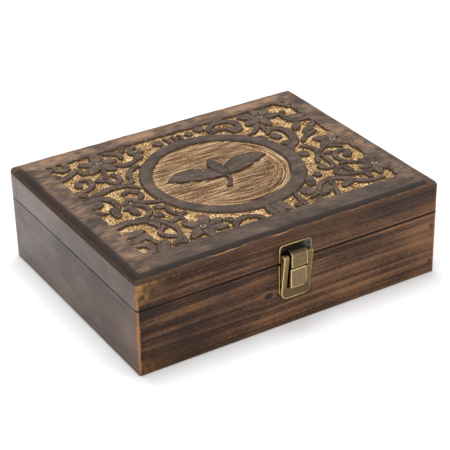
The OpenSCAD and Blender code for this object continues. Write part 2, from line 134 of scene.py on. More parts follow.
# %% A number inside a finish
class Number:
    """A socket that carries a number: an operator on it adds the Math node of that name."""

    def __init__(self, finish, socket):
        self.finish, self.socket = finish, socket

    def math(self, operation, *values):
        return self.finish.node("ShaderNodeMath", {"operation": operation}, dict(enumerate(values)))

    def size(self):
        return self.math("ABSOLUTE", self)

    def between(self, start, end):
        """0 below start, 1 above end, with a soft step from one to the other."""
        return self.finish.node(
            "ShaderNodeMapRange", {"interpolation_type": "SMOOTHSTEP"},
            {"Value": self, "From Min": start, "From Max": end},
        )


for name, operation in {"__add__": "ADD", "__radd__": "ADD", "__sub__": "SUBTRACT", "__mul__": "MULTIPLY",
                        "__rmul__": "MULTIPLY", "__truediv__": "DIVIDE", "__pow__": "POWER",
                        "least": "MINIMUM", "most": "MAXIMUM"}.items():
    setattr(Number, name, lambda self, other, operation=operation: self.math(operation, self, other))
for name, operation in {"__rsub__": "SUBTRACT", "__rtruediv__": "DIVIDE"}.items():
    setattr(Number, name, lambda self, other, operation=operation: self.math(operation, other, self))
print("a number can be asked for:", [name for name in vars(Number) if name[0] != "_"])


# %% A finish and its nodes
class Finish:
    """A material: node() adds any node, with its settings first and then its sockets."""

    def __init__(self, name, **surface):
        self.material = bpy.data.materials.new(name)
        self.material.use_nodes = True
        self.tree = self.material.node_tree
        self.surface = self.tree.nodes["Principled BSDF"]
        for socket, value in surface.items():
            self.surface.inputs[socket.replace("_", " ")].default_value = value

    def node(self, kind, settings=None, sockets=None, out=0):
        made = self.tree.nodes.new(kind)
        for key, value in (settings or {}).items():
            setattr(made, key, value)
        for key, value in (sockets or {}).items():
            self.feed(made.inputs[key], value)
        return Number(self, made.outputs[out])

    def feed(self, socket, value):
        if isinstance(value, Number):
            self.tree.links.new(value.socket, socket)
        elif isinstance(value, tuple) and len(value) == 3 and len(socket.default_value) == 4:
            socket.default_value = (*value, 1)
        else:
            socket.default_value = value

    def place(self):
        """The place on the object, in millimetres."""
        point = self.node("ShaderNodeTexCoord", out=3)
        return self.node("ShaderNodeVectorMath", {"operation": "SCALE"}, {0: point, "Scale": 1000.0})

    def parts(self, vector):
        return [self.node("ShaderNodeSeparateXYZ", None, {0: vector}, out=i) for i in range(3)]

    def noise(self, vector, scale=1.0, detail=3.0, rough=0.5, distort=0.0):
        return self.node("ShaderNodeTexNoise", None, {
            "Vector": vector, "Scale": scale, "Detail": detail, "Roughness": rough, "Distortion": distort})

    def grain(self, vector, scale, *shape, shift=(0.0, 0.0, 0.0)):
        """Noise with a scale of its own along each axis; shape is its detail, roughness and distortion."""
        mapping = {"Vector": vector, "Scale": scale, "Location": shift}
        return self.noise(self.node("ShaderNodeMapping", None, mapping), 1.0, *shape)

    def ramp(self, factor, *stops):
        """A colour that goes from stop to stop, each a place and a colour, as factor grows."""
        made = self.tree.nodes.new("ShaderNodeValToRGB")
        elements = made.color_ramp.elements
        while len(elements) < len(stops):
            elements.new(1)
        for element, (at, colour) in zip(elements, stops):
            element.position, element.color = at, (*colour, 1)
        self.feed(made.inputs["Fac"], factor)
        return Number(self, made.outputs[0])

    def mix(self, factor, first, second):
        """One colour turning into another as factor goes from 0 to 1."""
        return self.node("ShaderNodeMix", {"data_type": "RGBA"}, {0: factor, 6: first, 7: second}, out=2)

    def shade(self, colour, amount):
        """A colour made darker or lighter by a number."""
        return self.node("ShaderNodeVectorMath", {"operation": "SCALE"}, {0: colour, "Scale": amount})

    def finish(self, height=None, distance=0.0002, **sockets):
        """Feeds the surface's own sockets, and its bump with a height times a distance in metres."""
        for socket, value in sockets.items():
            self.feed(self.surface.inputs[socket.replace("_", " ")], value)
        if height is not None:
            bump = {"Strength": 1.0, "Distance": distance, "Height": height}
            self.feed(self.surface.inputs["Normal"], self.node("ShaderNodeBump", None, bump))
        print("finish:", self.material.name, "with", len(self.tree.nodes), "nodes")
        return self.material


print("a finish can be asked for:", [name for name in vars(Finish) if name[0] != "_"])

# %% [markdown]
# ## The stage
# The box stands on a pale floor in soft studio light. A camera ray sees the floor a little
# brighter than its own colour, so the sheet runs out into white, while every other ray meets
# a plain floor. That keeps the soft shadow round the base and throws no false light.

# %% The floor
floor_mesh = bpy.data.meshes.new("floor")
floor_mesh.from_pydata([(-6, -6, 0), (6, -6, 0), (6, 6, 0), (-6, 6, 0)], [], [(0, 1, 2, 3)])
floor = bpy.data.objects.new("floor", floor_mesh)
bpy.context.scene.collection.objects.link(floor)
paper = Finish("paper", Roughness=0.9, Base_Color=(0.78, 0.78, 0.78, 1), Specular_IOR_Level=0.1)
camera_ray, glossy_ray = (paper.node("ShaderNodeLightPath", out=i) for i in (0, 3))
across = [part * part for part in paper.parts(paper.place())]
far = ((across[0] + across[1]) ** 0.5).between(700, 2500)
strength = camera_ray.most(glossy_ray) * 0.12 + camera_ray * far * 0.5
glow = paper.node("ShaderNodeEmission", None, {"Color": (1.0, 1.0, 1.0), "Strength": strength})
both = paper.tree.nodes.new("ShaderNodeAddShader")
paper.tree.links.new(paper.surface.outputs[0], both.inputs[0])
paper.tree.links.new(glow.socket, both.inputs[1])
paper.tree.links.new(both.outputs[0], paper.tree.nodes["Material Output"].inputs["Surface"])
floor_mesh.materials.append(paper.finish())

# %% The white behind and around
world = bpy.data.worlds.new("studio")
bpy.context.scene.world = world
world.use_nodes = True
sky = world.node_tree
path, pale, shine, level = (sky.nodes.new(kind) for kind in (
    "ShaderNodeLightPath", "ShaderNodeMath", "ShaderNodeMath", "ShaderNodeMapRange"))
pale.operation = shine.operation = "MAXIMUM"
level.inputs["To Min"].default_value = 0.42
background = sky.nodes["Background"].inputs
background["Color"].default_value = (1, 1, 1, 1)
for start, end in (
        (path.outputs["Is Camera Ray"], pale.inputs[0]), (path.outputs["Is Glossy Ray"], shine.inputs[0]),
        (path.outputs["Is Transmission Ray"], shine.inputs[1]), (shine.outputs[0], pale.inputs[1]),
        (pale.outputs[0], level.inputs["Value"]), (level.outputs[0], background["Strength"])):
    sky.links.new(start, end)
print("world level away from the camera:", level.inputs["To Min"].default_value)


# %% The lamps
def softbox(name, spot, size, power):
    """A square lamp that faces the box from a spot in metres."""
    lamp = bpy.data.lights.new(name, "AREA")
    lamp.size, lamp.energy = size, power
    holder = bpy.data.objects.new(name, lamp)
    aim = (Vector(spot) - Vector((0, 0, 0.04))).to_track_quat("Z", "Y")
    holder.matrix_world = Matrix.Translation(Vector(spot)) @ aim.to_matrix().to_4x4()
    bpy.context.scene.collection.objects.link(holder)
    print("lamp:", name, power, "W")


softbox("overhead", (0.0, 0.2, 1.4), 0.6, 16)
softbox("key", (-0.7, -0.6, 1.1), 0.8, 6)
softbox("fill", (0.8, -1.0, 0.7), 0.8, 6)
bpy.context.scene.view_settings.view_transform = "Standard"

# %% [markdown]
# ## Wood, stained dark
# The boards are pine, burnt and stained until only the grain and the worn edges stay warm.
# Grain is stretched noise: long along the board, tight across it. Two scales are enough, wide
# bands for the rings and fine dark threads for the fibre. The stain wears off first at the
# upright corners and along the edges, so those read the surface's direction and its place.

# %% Worn edges, and noise along the grain
def edge_wear(f, low=0.72, high=0.97):
    """How much a bevelled edge shows: 0 on a flat face, 1 where the surface turns between two."""
    turned = f.node("ShaderNodeTexCoord", out=1)
    flat = [part.size() for part in f.parts(turned)]
    return 1 - flat[0].most(flat[1]).most(flat[2]).between(low, high)


def streaks(f, vector, along, tight, long, shift, detail, rough, distort=0.0):
    """Noise with one scale across the grain and a much longer one along it."""
    scale = [tight] * 3
    scale[along] = long
    return f.grain(vector, tuple(scale), detail, rough, distort, shift=shift)


print("board helpers:", edge_wear.__name__, streaks.__name__)


# %% Grain bent round knots
SMALL_KNOT = 5


def board_grain(f, point, along, seed, knots):
    """The noises of a board, from its wide rings to its short dashes, and the dark middle of a small knot.

    Near a knot the grain is pushed apart: by 1.2 / (1 + distance squared / size squared)."""
    x, y, z = f.parts(point)
    lift, spot = z, 0.0
    for place, kz, size in knots:
        away = (((x, y)[along] - place) / 1.5) ** 2.0 + (z - kz) ** 2.0
        lift = lift + (z - kz) * (1 / (1 + away / (size * size))) * -1.2
        if size < SMALL_KNOT:
            spot = (1 - away / (size * size * 0.45)).most(spot)
    grain = f.node("ShaderNodeCombineXYZ", None, {0: x, 1: y, 2: lift})
    bands = streaks(f, grain, along, 0.2, 0.004, (seed, seed, seed), 2.0, 0.5, 0.4)
    lines = streaks(f, grain, along, 0.6, 0.005, (seed, 1.0, 0.0), 3.0, 0.6, 0.15)
    threads = streaks(f, grain, along, 1.7, 0.02, (seed, 0.0, 0.0), 3.0, 0.65)
    dashes = streaks(f, point, along, 1.1, 0.35, (seed, 7.0, 2.0), 2.0, 0.7)
    blotch = f.grain(point, (0.022, 0.022, 0.035), 3.0, 0.55, shift=(seed, 3.0, 1.0))
    return bands, lines, threads, dashes, blotch, spot


print("a knot under", SMALL_KNOT, "mm has a dark middle")


# %% Worn corners, the seam and the scorched ends
BARE_WOOD, WARM_WASH, GILT = (0.46, 0.225, 0.1), (0.24, 0.115, 0.038), (0.4, 0.22, 0.065)
SEAM_SHADOW, SOOT = (0.006, 0.004, 0.003), (0.02, 0.013, 0.009)


def board_wear(f, point, colour, threads, blotch):
    """A board's colour after years of handling and a pass of the flame, with painted shade along the seam,
    by its place on the box.
    """
    x, y, z = f.parts(point)
    fray = f.grain(point, (0.4, 0.4, 0.2), 3.0, 0.6)
    corner = (x.size() - (HALF_W - 3.0)).least(y.size() - (HALF_D - 3.0))
    worn = corner + threads * 0.8 + fray * 1.6 + blotch * 2.0 + y.between(0, 9) * 0.8 - 2.2
    worn = worn.between(0.9, 1.9)
    worn = worn.most(edge_wear(f) * (threads + blotch * 0.6).between(0.6, 0.85) * 0.8)
    back_corner = (y - (HALF_D - 4)).between(0, 2) * (x.size() - (HALF_W - 4)).between(0, 3)
    worn = worn.most(back_corner * (fray + threads).between(0.8, 1.1))
    colour = f.mix(worn * 0.85, colour, BARE_WOOD)
    from_left = x + HALF_W
    front = (y * -1 - (HALF_D - 2)).between(0, 1)
    wash = from_left.between(30, 0) * front * (z - (TOP_Z - 22)).between(0, 14).most(z.between(18, 2) * 0.8)
    colour = f.mix(wash * (fray + threads * 0.5).between(0.4, 1.1), colour, WARM_WASH)
    near = from_left.between(16, 1) * (z - (TOP_Z - 24)).between(0, 14)
    near = near.most(from_left.between(60, 0) * (z - (TOP_Z - 9)).between(0, 4) * 0.6)
    gilt = (fray + threads * 0.3 + near * 0.3).between(0.6, 1.1) * near * front
    colour = f.mix(gilt * 0.9, colour, GILT)
    outer = (x.size() - (HALF_W - 1.6)).most(y.size() - (HALF_D - 1.6)).between(0, 1.2)
    # Painted shade: the outer edges next to the seam between lid and base are darkened almost to black
    seam = (z - SEAM_Z - 0.25).size().between(0.8, 0.35)
    colour = f.mix(seam * outer, colour, SEAM_SHADOW)
    smut = f.grain(point, (0.05, 0.05, 0.3), 3.0).between(0.5, 0.8)
    charred = (z - (TOP_Z - 6)).between(0, 3) * (0.35 + smut * 0.4)
    charred = charred.most((z + fray * 4).between(5, 2.5) * (0.25 + smut * 0.5))
    return f.mix(charred, colour, SOOT)


print("bare wood on the corners:", BARE_WOOD, "and soot near the top and the foot:", SOOT)


# %% A finish for boards
def board_finish(name, along, dark, middle, light, seed, shine=0.25, knots=(), band_depth=0.75, slope=0.0008,
                 sheen=0.0, smoke=0.0):
    """Stained pine with its grain along one axis of the box, bent round its knots.

    slope lightens it towards the right, sheen polishes it and smoke darkens the lid's right half."""
    f = Finish(name, Specular_IOR_Level=shine)
    point = f.place()
    x, y, z = f.parts(point)
    bands, lines, threads, dashes, blotch, spot = board_grain(f, point, along, seed, knots)
    tone = (bands + lines) * band_depth + threads * 0.6 + dashes * 0.35 + blotch * 0.75
    tone = tone - (threads * 0.8 + 0.1) * spot - (band_depth + 0.355) + x * slope * z.between(60, 44)
    tone = tone + (tone + dashes * 1.2 - 1.13) * smoke * 0.25
    bright = tuple(1.5 * part for part in light)
    colour = f.ramp(tone, (0.22, dark), (0.48, middle), (0.68, light), (0.9, bright))
    haze = (z - SEAM_Z).between(-1, 8) * (x / HALF_W).between(-0.2, 0.9) * bands.between(0.66, 0.42) * smoke
    colour = f.mix(haze * 0.6, colour, (0.03, 0.022, 0.019))
    colour = board_wear(f, point, colour, threads, blotch)
    polish = {}
    if sheen:
        upper, back = (z - SEAM_Z).between(-3, 3), (y / HALF_D).between(-0.8, 0.8)
        coat = upper * 0.27 + back * 0.33 + (blotch - 0.5) * 1.8
        polish = {"Coat_Weight": coat * sheen, "Coat_Roughness": 0.35}
        stain = f.grain(point, (0.03, 0.016, 0.03), 2.0, 0.5, shift=(3.0, 8.0, 4.0))
        colour = f.mix(stain.between(0.48, 0.68) * 0.55, colour, (0.16, 0.08, 0.045))
        # Painted shade: below the seam the side is painted up to 16 per cent darker, for the weaker sheen of
        # the base half
        colour = f.shade(colour, 0.84 + (z - SEAM_Z).between(-2, 2) * 0.16)
    return f.finish(height=threads * 0.25 + lines * 0.3, Base_Color=colour,
                    Roughness=0.12 + threads * 0.15 + blotch * 0.5, **polish)


# %% The board finishes
FRONT = (0.024, 0.012, 0.008), (0.072, 0.034, 0.019), (0.15, 0.072, 0.034)
SIDE = (0.034, 0.018, 0.011), (0.064, 0.034, 0.022), (0.12, 0.06, 0.035)
INNER = (0.2, 0.12, 0.065), (0.4, 0.26, 0.15), (0.52, 0.36, 0.22)
wood_x = board_finish("stained_pine_x", 0, *FRONT, 4.0, 0.12, [(-20, 26, 3.4)], smoke=1.0)
wood_y = board_finish("stained_pine_y", 1, *SIDE, 9.0, 0.35, [(-20, 26, 13)], 0.5, 0.0, sheen=1.0)
inner_x = board_finish("inner_pine_x", 0, *INNER, 2.0)
inner_y = board_finish("inner_pine_y", 1, *INNER, 2.0)

# %% [markdown]
# ## The carving, as strokes
# The lid's field is filled with scrolls, leaves and flowers. A carver draws them as strokes:
# a curve through a few points, with a width that swells and tapers. Here each stroke is its
# width at the start, middle and end, then its points; a flower is its middle and its petals.

# %% Back left corner
STROKES = [
    (4.2, 4.8, 4, -89.6, 76, -89.6, 69, -87.5, 65.6, -84, 65.2, -82.4, 68.5, -81.8, 76),
    (4, 5, 3, -97, 52, -90, 54, -84, 57.5, -78.5, 60.5),
    (3, 4, 3, -77.6, 57.4, -76.4, 52.5),
    (3.4, 3.4, 2, -95, 61, -92.3, 56.5),
    (4.4, 5, 4, -87.8, 38.4, -86.6, 43),
    (3, 4.4, 2.6, -83, 45.5, -79, 43.4, -78.5, 38, -81, 33.5, -86, 31, -96, 29.5),
    (3, 5, 2.4, -93.5, 29, -89.4, 22.5),
    (2.4, 3.8, 4, -62.5, 52, -64.8, 45, -67, 38.5, -67.4, 33, -64, 29.6, -60.2, 31.5, -59, 36.5, -61, 41),
    (4.4, 4.8, 3, -73, 39, -70, 36.5),
    (3, 5.4, 3, -53, 52.5, -46, 49.3, -38, 51),
    (3, 5, 3, -52, 72.4, -47, 69.3, -43, 65.8, -44, 60),
    (4, 4, 3, -35.4, 76, -39.5, 68),
    (3, 4.4, 3, -53, 27.5, -52.4, 33, -50, 38, -46, 41.2, -40, 43),
    (3, 5.2, 2.4, -97, 16.5, -88, 20.2, -80, 21.8, -72, 23.8, -64, 23.4, -58.5, 20.4, -54.5, 15),
    (3, 4.8, 2.4, -59, 22.5, -53, 27),
    (4, 4.4, 2.4, -67.8, 12.8, -64, 14.4, -60, 11.5, -58, 6.5, -60, 2),
    (4, 4, 3, -97, 71, -93.5, 69.5),
]
print("strokes so far:", len(STROKES))

# %% Front left corner
STROKES += [
    (8, 9.4, 8, -91, 8.5, -89.5, 9.5),
    (5, 5.6, 3, -94, 14.6, -86, 15.4, -80.4, 12, -78.2, 6, -79, 0, -81, -4),
    (4, 6.2, 1.6, -83.6, -2, -84.2, -7.5, -85.2, -14),
    (3, 4, 2.4, -97, -0.5, -90, -4.5),
    (2.6, 4, 2.6, -74.5, -1.5, -70, 3.6, -66.4, 2.2, -65.4, -1.4, -60.5, -5.4, -52, -9.4),
    (2.4, 4.4, 2, -61.5, 0.5, -57, 8),
    (4.4, 6, 4, -72.8, -8.5, -73, -16),
    (3, 4, 3, -77, -7, -73, -4.4, -68.4, -5.2, -64.6, -9.5, -63.6, -14.5, -66, -19.5, -71, -23.4, -78, -23),
    (6.4, 5.4, 2.8, -97, -25, -88, -23.8, -80, -24.8, -72, -28, -66, -32, -62.8, -37.5, -61.2, -44,
     -61.4, -50, -63, -54),
    (6, 6.4, 6, -62.2, -24.4, -61.4, -25),
    (3, 4.6, 3, -59, -14.4, -53, -18),
    (2.6, 3.8, 2.6, -51.5, -18, -53.4, -22.5, -53, -27.4, -50.5, -31, -46, -31),
    (3, 4.6, 3, -61, -37, -56.5, -36, -52, -35),
    (2, 2.8, 4, -51, -31.5, -51.2, -38, -52.5, -44),
    (3.4, 4.6, 3, -72.4, -32, -69.6, -34.5, -70, -39),
    (5, 6.4, 4.4, -97, -38.6, -88, -38.6, -81.5, -37.6),
    (5, 6.4, 4.4, -97, -47.6, -89, -46.4, -83, -44.6, -82, -49),
    (3, 3.8, 5, -67, -41, -71.4, -43.4, -73, -48, -70, -52.6, -65.6, -55.6, -63.8, -59, -64.8, -63.4),
    (3, 5.4, 5, -97, -53, -90, -53.4, -86.4, -57.5, -88, -64, -97, -66),
    (4, 9, 5, -84, -69, -79.4, -62.4, -76, -57),
    (4, 4.6, 4, -81.4, -53, -80.6, -56.4),
    (3, 5, 3, -72, -63, -66, -60),
    (4.4, 5.4, 4.4, -27.6, -54.6, -26.4, -57),
    (3, 4.4, 3, -29.5, -69, -26, -62, -20, -58.3, -14, -59, -9, -63, -6, -69),
]
print("strokes so far:", len(STROKES))

# %% Middle of the back and of the front
STROKES += [
    (3, 4, 3, -29, 69.5, -33, 68.4, -35, 64, -32.5, 60, -28.4, 61, -27, 65),
    (5, 6.4, 4, -34, 53.6, -31.8, 58),
    (6, 7.4, 5, -12.5, 66, -10.5, 65.5),
    (2, 3.4, 2, -4.2, 61.5, -3, 65, -4.6, 69.5),
    (2, 3.4, 2, 1.6, 61.5, 3, 65, 1.6, 69.5),
    (2, 3, 2, 6.4, 62.5, 7.6, 65.5, 6.4, 69),
    (5, 6, 5, 13.6, 67, 14.6, 67),
    (3, 7.6, 4, 8, -50.5, 3.5, -57, 2, -64.5),
    (3, 7, 4, 8, -50.5, 7.3, -58, 7, -66),
    (3, 7, 4, 8, -50.5, 12, -57.5, 13.6, -64.5),
    (4.4, 5, 4.4, 20.6, -63, 21.6, -63),
]
print("strokes so far:", len(STROKES))

# %% Back right corner
STROKES += [
    (6, 7, 5, 23, 69.5, 25.5, 68.5),
    (4, 5, 5.2, 28.5, 58.5, 30.6, 66, 36, 70.6, 43.5, 71.2, 50, 67.4, 51.8, 60.5, 49.4, 55, 45, 53,
     42.6, 57.6),
    (2, 3.6, 2, 28.5, 59, 35, 60.4, 41, 59.5),
    (2.4, 4.2, 2.4, 48.8, 41.6, 55.5, 44.4, 61, 49.6, 66, 56),
    (3, 5, 1.8, 64.8, 50, 64.2, 44.5, 63.2, 39.5),
    (3, 3.8, 3, 86, 52.5, 87.5, 58, 91, 60.5),
    (5, 9.4, 6, 88, 49.5, 92, 48.4, 98, 48),
    (3, 4, 3, 86, 51, 88.5, 44.5, 95, 42.4, 102, 42.6),
    (3, 6.6, 4, 61.5, 36, 66.5, 40.4, 72.5, 39.4, 75.3, 32, 74.2, 22, 70, 14.5, 64, 10, 60.5, 3),
    (6.8, 7.4, 6.4, 64.2, 30.6, 64.8, 28.4),
    (5.4, 6.6, 4, 64, 17.4, 66, 15.8),
    (5, 6.6, 4.4, 53, 33.4, 55.6, 31.6),
    (3, 6, 3, 81.4, 30.6, 85, 34.5, 89.5, 40),
    (4, 5.4, 4, 99, 33.4, 93.8, 30),
    (6, 8.4, 5, 91.6, 26.6, 86.4, 21.6),
    (3, 4, 2.4, 93, 22, 86, 19.4, 80, 16.4, 76, 12),
    (4, 4, 4, 95, 74.5, 99.5, 66.5),
]
print("strokes so far:", len(STROKES))

# %% Front right corner
STROKES += [
    (3, 4.4, 3, 70.5, 6.5, 74.3, 2, 75.6, -4, 74.2, -9.5, 70, -14.5, 66.6, -20),
    (7.4, 8.4, 7, 64.4, -3.6, 65.4, -4.6),
    (2.4, 4, 2.4, 76, -8, 84, -3.2, 90, -5, 94, -9),
    (2.4, 4.4, 2.4, 78, -12, 84.5, -13.5),
    (5.8, 6.4, 5.6, 64.6, -26.4, 65.2, -28.4),
    (3, 4, 3, 66, -31.4, 70.4, -31.6, 73.4, -28, 74.2, -21, 74, -12),
    (3, 4, 5.6, 84, -31.4, 81.4, -26, 81.4, -19.6, 84.6, -14.8, 90, -14.2, 93, -18, 89.4, -22.4),
    (2.4, 4.4, 2, 77.5, -30.6, 83.4, -31, 89, -35.5),
    (4.4, 5.2, 4, 77.6, -37.6, 78.4, -42),
    (3, 4.4, 3, 76.5, -35.6, 71, -36.2, 68, -40.6, 72.4, -45, 79, -48, 86, -50.2, 90, -50),
    (3, 4.4, 3, 84.6, -51.5, 84.4, -57.6),
    (6, 6.6, 5.4, 55.6, -34.4, 56, -35.4),
    (3.4, 7, 3.6, 49, -35, 46.4, -40, 43.6, -45),
    (3, 4.6, 3, 41.5, -61, 45, -53.4, 50, -47.2, 57, -45, 63.4, -47, 68.6, -51.4, 73, -57, 80, -61.4,
     91, -62.6),
    (4.8, 5.4, 4, 57.2, -49.8, 57, -52),
    (3, 4, 4, 57.4, -52.5, 54, -59, 50.6, -69),
    (8, 10.4, 8, 36.4, -50.6, 37.4, -51.4),
    (3, 4, 3, 28, -49, 26, -58, 26, -68),
    (2.4, 3.2, 2.4, 33.5, -60, 41, -57.5),
    (3.4, 5.6, 3.4, 61.4, -58.2, 66, -56.4, 70.4, -54.4),
    (3, 6, 2.6, 43.4, -61, 47.6, -57, 52, -52),
    (3, 4, 3, 34, -69, 38, -63),
]
print("strokes so far:", len(STROKES))

# %% Flowers: the middle, then each petal's tip and width
FLOWERS = [
    (-61.4, 60.5, [(-75, 66.4, 7.4), (-58.4, 76.5, 8.6), (-48, 60.4, 7.4), (-55.6, 46.6, 8), (-73, 50, 9)]),
    (71.5, 61.5, [(57, 71, 8.4), (56.5, 55.5, 8.4), (70.8, 46, 7.4), (86.5, 59, 8), (72.5, 76, 7),
                   (83.5, 72.5, 7)]),
    (-46, -54, [(-59.4, -63.4, 8), (-46, -68, 7.4), (-31.6, -62.4, 8.4), (-30, -51.4, 7.4), (-38, -42, 9),
                (-55, -43.6, 8)]),
    (94.5, 2.5, [(84.5, 12, 8.4), (83.5, -0.5, 8), (99, 13, 8), (101, -7, 8)]),
    (97, -43.5, [(86.5, -44, 8), (92, -33, 8.4), (99.6, -30.5, 7), (92.4, -57.6, 7), (101.5, -54, 7)]),
]
print("strokes:", len(STROKES), "flowers:", len(FLOWERS))

# %% [markdown]
# ## From strokes to a surface
# A stroke's distance field is the distance to its middle line less its half width there. One
# array holds the field's points and another the line's points, so numpy compares them all at
# once. Where a later stroke crosses an earlier one, a carver cuts a line between them, and
# the field keeps how far each point is from the last such line.

# %% Curve and distance of one stroke
def smooth_line(points, step=0.5):
    """A Catmull-Rom curve through the points: each span is the cubic that its four nearest points give."""
    p = np.array(points, float).reshape(-1, 2)
    p = np.vstack([2 * p[0] - p[1], p, 2 * p[-1] - p[-2]])
    spans = []
    for a, b, c, d in zip(p[:-3], p[1:-2], p[2:-1], p[3:]):
        t = np.linspace(0, 1, max(3, int(np.hypot(*(c - b)) / step)), endpoint=False)[:, None]
        square, cube = 2 * a - 5 * b + 4 * c - d, 3 * b - a - 3 * c + d
        spans.append(0.5 * (2 * b + (c - a) * t + square * t**2 + cube * t**3))
    return np.vstack(spans + [p[-2:-1]])


def across_stroke(x, y, widths, points):
    """At each place: its depth inside the stroke, its offset in half widths, and its place along the line.

    Depth = half width there - distance to the middle line, from the nearest point of the line."""
    line = smooth_line(points)
    along = np.linspace(0, 1, len(line))
    first, mid, last = widths
    swell = [first, 0.75 * mid + 0.25 * first, mid, 0.75 * mid + 0.25 * last, last]
    half = np.interp(along, [0, 0.25, 0.5, 0.75, 1], swell) / 2
    dx, dy = x[..., None] - line[:, 0], y[..., None] - line[:, 1]
    inside = half - np.hypot(dx, dy)
    best = inside.argmax(-1)
    way = np.gradient(line, axis=0)
    way /= np.hypot(way[:, 0], way[:, 1])[:, None] + 1e-9
    pick = lambda values: np.take_along_axis(values, best[..., None], -1)[..., 0]
    side = pick(dx) * -way[best, 1] + pick(dy) * way[best, 0]
    steps = np.hypot(*np.diff(line, axis=0).T)
    length = np.concatenate([[0], np.cumsum(steps)])
    return pick(inside), side / np.maximum(half[best], 0.3), length[best]


print("points on the first stroke's line:", len(smooth_line(STROKES[0][3:])))


# %% Chipped edges
def chips(x, y, size, seed):
    """Soft random bumps from -1 to 1: random numbers on a square lattice, joined by smooth steps."""
    lattice = np.random.default_rng(seed).uniform(-1, 1, (64, 64))
    i, j = np.floor(x / size).astype(int), np.floor(y / size).astype(int)
    s, t = ((v / size - k) ** 2 * (3 - 2 * (v / size - k)) for v, k in ((x, i), (y, j)))
    at = lambda a, b: lattice[(i + a) % 64, (j + b) % 64]
    return (at(0, 0) * (1 - s) + at(1, 0) * s) * (1 - t) + (at(0, 1) * (1 - s) + at(1, 1) * s) * t


print("chips from", chips(*np.mgrid[:99, :99], 2.6, 1).min().round(2), "up")


# %% The sprig in the ring, and every shape in the order of its carving
SPRIG_LEAVES = [(5.2, -1.2, -8, 7, -22, 11.5, -35, 11), (3.2, -1.2, 16, 7, 30, 11.5, 43.4, 11)]
SPRIG_BUD = (4.2, -3.2, 4.2, 24)
SPRIG_STALK = (4.2, -2, 3, -8, -2, -15)


def carved_shapes():
    """Each shape's widths, points and kind: the scrolls, then the flowers, then the sprig."""
    shapes = [(row[:3], row[3:], "scroll") for row in STROKES]
    for cx, cy, petals in FLOWERS:
        for tx, ty, width in petals:
            dx, dy = tx - cx, ty - cy
            line = (cx + 0.12 * dx, cy + 0.12 * dy, cx + 0.85 * dx, cy + 0.85 * dy)
            shapes.append(((3, width, 0.6 * width), line, "petal"))
        shapes.append(((5.4, 5.4, 5.4), (cx - 0.2, cy, cx + 0.2, cy), "eye"))
    shapes += [((0.6, 17, 0.6), points, "leaf") for points in SPRIG_LEAVES]
    return shapes + [((0.6, 10.5, 0.6), SPRIG_BUD, "bud"), ((2.6, 2.6, 3), SPRIG_STALK, "stalk")]


print("shapes to carve:", len(carved_shapes()))


# %% The fine lines cut into a shape
def line_at(distance, width):
    """exp(-(distance / width)²): 1 on a line, and almost 0 at twice its width."""
    return np.exp(-((distance / width) ** 2))


def fine_lines(kind, inside, side, along):
    """How strongly each place of a shape is scored: along its middle, beside it, round it or in ribs."""
    if kind in ("scroll", "stalk"):
        return 0.35 * line_at(side, 0.3)
    if kind == "petal":
        return line_at(np.abs(side) - 0.42, 0.16) + line_at(side, 0.14)
    if kind == "eye":
        return 2 * line_at(inside - 1.0, 0.4)
    rib = np.abs((along - 2.2 * np.abs(side) - 1.2) % 4.2 - 2.1)
    return np.minimum(line_at(side, 0.09) + 0.8 * line_at(rib, 0.42) * (kind == "leaf"), 1)


print("a leaf's middle line and its side:", fine_lines("leaf", 0, np.array([0, 0.5]), 0).round(2))


# %% Join the shapes
FAR = 6.0


def beyond_field(x, y):
    """max(|x - middle| - half width, |y - middle| - half depth): below 0 in the field, above 0 outside."""
    left, right, front, back = FIELD
    return np.maximum(np.abs(x - (left + right) / 2) - (right - left) / 2,
                      np.abs(y - (front + back) / 2) - (back - front) / 2)


def carve(x, y):
    """Depth inside the ornament, distance from a cut line, fine lines, and whether it is in the ring.

    Each shape lies over the ones before it, so its own edge becomes a cut line in what it crosses."""
    x, y = (x - DRAWN_X) / DRAWN_SCALE, (y - DRAWN_Y) / DRAWN_SCALE
    wobble = 0.5 * np.sin(x * 0.31 + 1) + 0.5 * np.sin(y * 0.37) + 0.3 * np.sin((x + y) * 0.9)
    depth = beyond_field(x, y) + 0.5 * wobble
    cut, vein = np.full(x.shape, FAR), np.zeros(x.shape)
    for widths, points, kind in carved_shapes():
        p = np.array(points, float).reshape(-1, 2)
        reach = max(widths) / 2 + 5
        box = (x > p[:, 0].min() - reach) & (x < p[:, 0].max() + reach)
        box &= (y > p[:, 1].min() - reach) & (y < p[:, 1].max() + reach)
        inside, side, along = across_stroke(x[box], y[box], widths, points)
        new, old = inside > 0, depth[box]
        crossed = np.where(new, np.where(old > -0.4, inside, FAR), -inside)
        cut[box] = np.where(new, crossed, np.where(old > 0, np.minimum(cut[box], crossed), cut[box]))
        vein[box] = np.where(new, fine_lines(kind, inside, side, along), vein[box])
        depth[box] = np.maximum(old, inside)
    depth = depth - 0.25 + 0.32 * chips(x, y, 2.6, 1) + 0.22 * chips(x, y, 1.3, 2)
    radius = np.hypot(x - RING_X, y - RING_Y)
    toward_front_right = ((x - RING_X) - (y - RING_Y)) / (1.42 * RING_R)
    broad = RING_W + 2.6 * np.maximum(toward_front_right, 0) ** 2
    ring = broad / 2 - np.abs(radius - (RING_R - broad / 2)) + 0.2 * chips(x, y, 3.4, 3)
    cut = np.where(ring > 0, ring, np.minimum(cut, -ring))
    plain = beyond_field(x, y) > 1
    cut, vein = np.where(plain, FAR, cut), np.where(plain | (ring > 0), 0, vein)
    return np.maximum(depth, ring), cut, vein, radius < RING_R - broad


print("depth, cut and fine line in the ring's middle:", [v[0].round(2) for v in carve(
    np.array([RING_X]), np.array([RING_Y]))[:3]])

# %% [markdown]
# ## The lid as one surface
# The top is a net of rows and columns, close together in the carved field and far apart on
# the plain border. Its height is the border's level, less the carved ground, with soft walls
# between them. The rim of the net turns over the rounded edge, runs down the side, and closes
# the underside in a few rings, so the whole lid is one closed skin.

